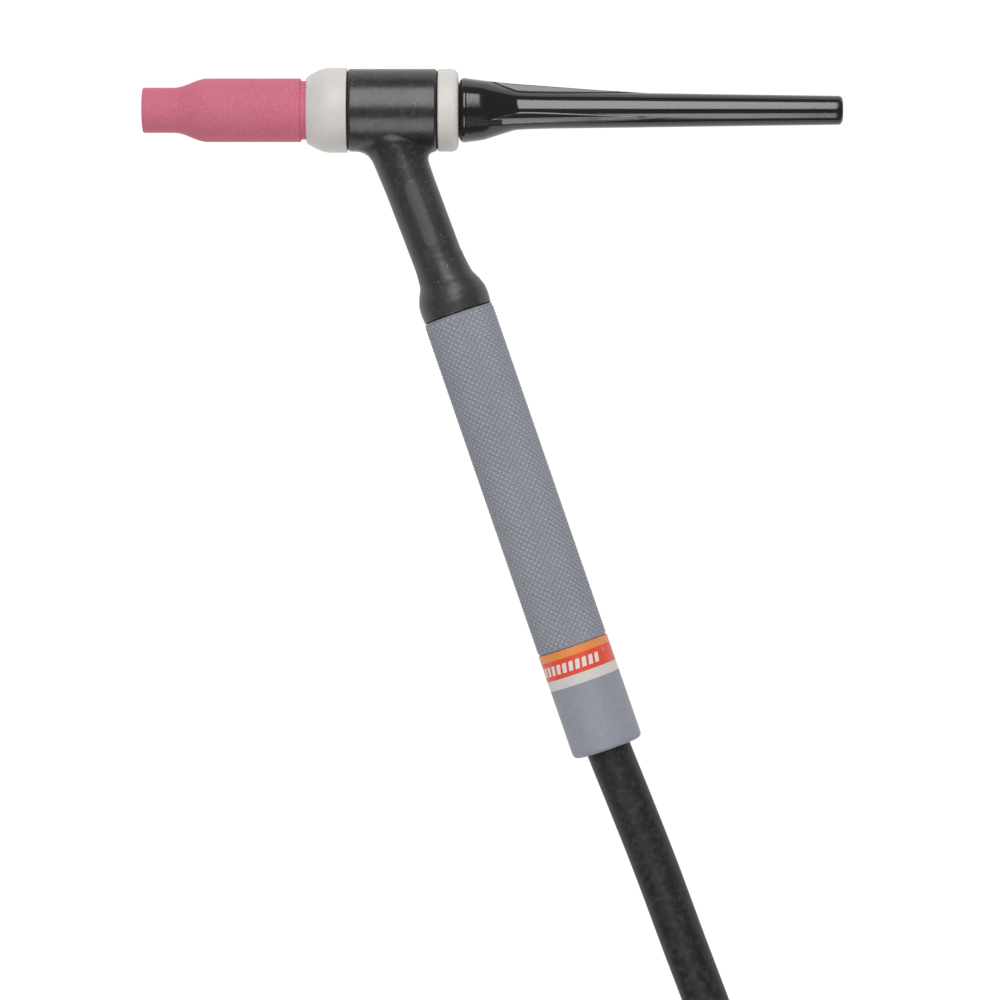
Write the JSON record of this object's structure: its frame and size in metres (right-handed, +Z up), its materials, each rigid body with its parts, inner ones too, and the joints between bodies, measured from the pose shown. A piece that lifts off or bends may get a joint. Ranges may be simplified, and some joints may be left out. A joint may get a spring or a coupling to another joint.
{
  "type": "tig torch",
  "caption": "Gas-cooled TIG welding torch: ceramic nozzle, black overmoulded head, long finned back cap, knurled grey handle and a coiled rubber power cable with its union nut.",
  "frame": {"origin": "on the ground under the middle of the torch without its cable, the torch lying on its side", "axes": "+X along the torch axis from the nozzle's mouth to the back cap's end, +Y in the torch's own plane and away from the handle, +Z up, square to the torch's plane"},
  "size_m": [0.248, 0.5056, 0.0297],
  "materials": {
    "alumina": "unglazed pink alumina, fine grained and matt",
    "fluoropolymer": "off-white, waxy and smooth",
    "head_rubber": "black moulded rubber, satin with a little dust",
    "phenolic": "black moulded phenolic, glossy",
    "handle_plastic": "grey moulded plastic with a fine diamond knurl",
    "band_print": "printed orange, red and white stripes",
    "brass": "turned brass",
    "copper": "turned copper alloy",
    "tungsten": "ground tungsten rod",
    "seal_rubber": "black rubber",
    "cable_rubber": "black rubber sheath, matt",
    "strap_fabric": "woven hook-and-loop strap"
  },
  "bodies": {
    "torch": {"head_insulation": "head_rubber", "head_core": "brass", "neck_tube": "copper", "collet_body": "copper", "rear_insulator": "fluoropolymer", "handle": "handle_plastic", "label_band": "band_print", "stem_nipple": "brass", "cable_nut": "brass", "cable_nipple": "brass", "cable_ferrule": "brass", "power_cable": "cable_rubber", "cable_coil": "cable_rubber", "cable_end": "cable_rubber", "machine_ferrule": "brass", "machine_nipple": "brass", "coil_tie_1": "strap_fabric", "coil_tie_2": "strap_fabric"},
    "gasket": {"front_insulator": "fluoropolymer"},
    "nozzle": {"ceramic_nozzle": "alumina"},
    "collet": {"collet": "copper"},
    "cap": {"back_cap": "phenolic", "cap_insert": "brass", "cap_seal": "seal_rubber"},
    "electrode": {"tungsten_electrode": "tungsten"},
    "nut": {"machine_nut": "brass"}
  },
  "joints": [
    {"name": "nozzle_turn", "type": "hinge", "parent": "torch", "child": "gasket", "pos_m": [-0.05, 0.09088, 0.0127], "axis": [-1, 0, 0], "range_deg": [0, 2700]},
    {"name": "nozzle_travel", "type": "slide", "parent": "gasket", "child": "nozzle", "axis": [-1, 0, 0], "range_m": [0, 0.01126]},
    {"name": "cap_turn", "type": "hinge", "parent": "torch", "child": "collet", "pos_m": [0, 0.09088, 0.0127], "axis": [1, 0, 0], "range_deg": [0, 2520]},
    {"name": "cap_travel", "type": "slide", "parent": "collet", "child": "cap", "axis": [1, 0, 0], "range_m": [0, 0.00876]},
    {"name": "electrode_slide", "type": "slide", "parent": "collet", "child": "electrode", "axis": [-1, 0, 0], "range_m": [-0.01, 0.012]},
    {"name": "machine_nut_turn", "type": "hinge", "parent": "torch", "child": "nut", "pos_m": [-0.13078, -0.21561, 0.0096], "axis": [0.069, 0.9976, 0], "continuous": true}
  ],
  "couplings": [
    {"joint": "nozzle_travel", "follows": "nozzle_turn", "m_per_rad": 0.00023873},
    {"joint": "cap_travel", "follows": "cap_turn", "m_per_rad": 0.00019894}
  ]
}
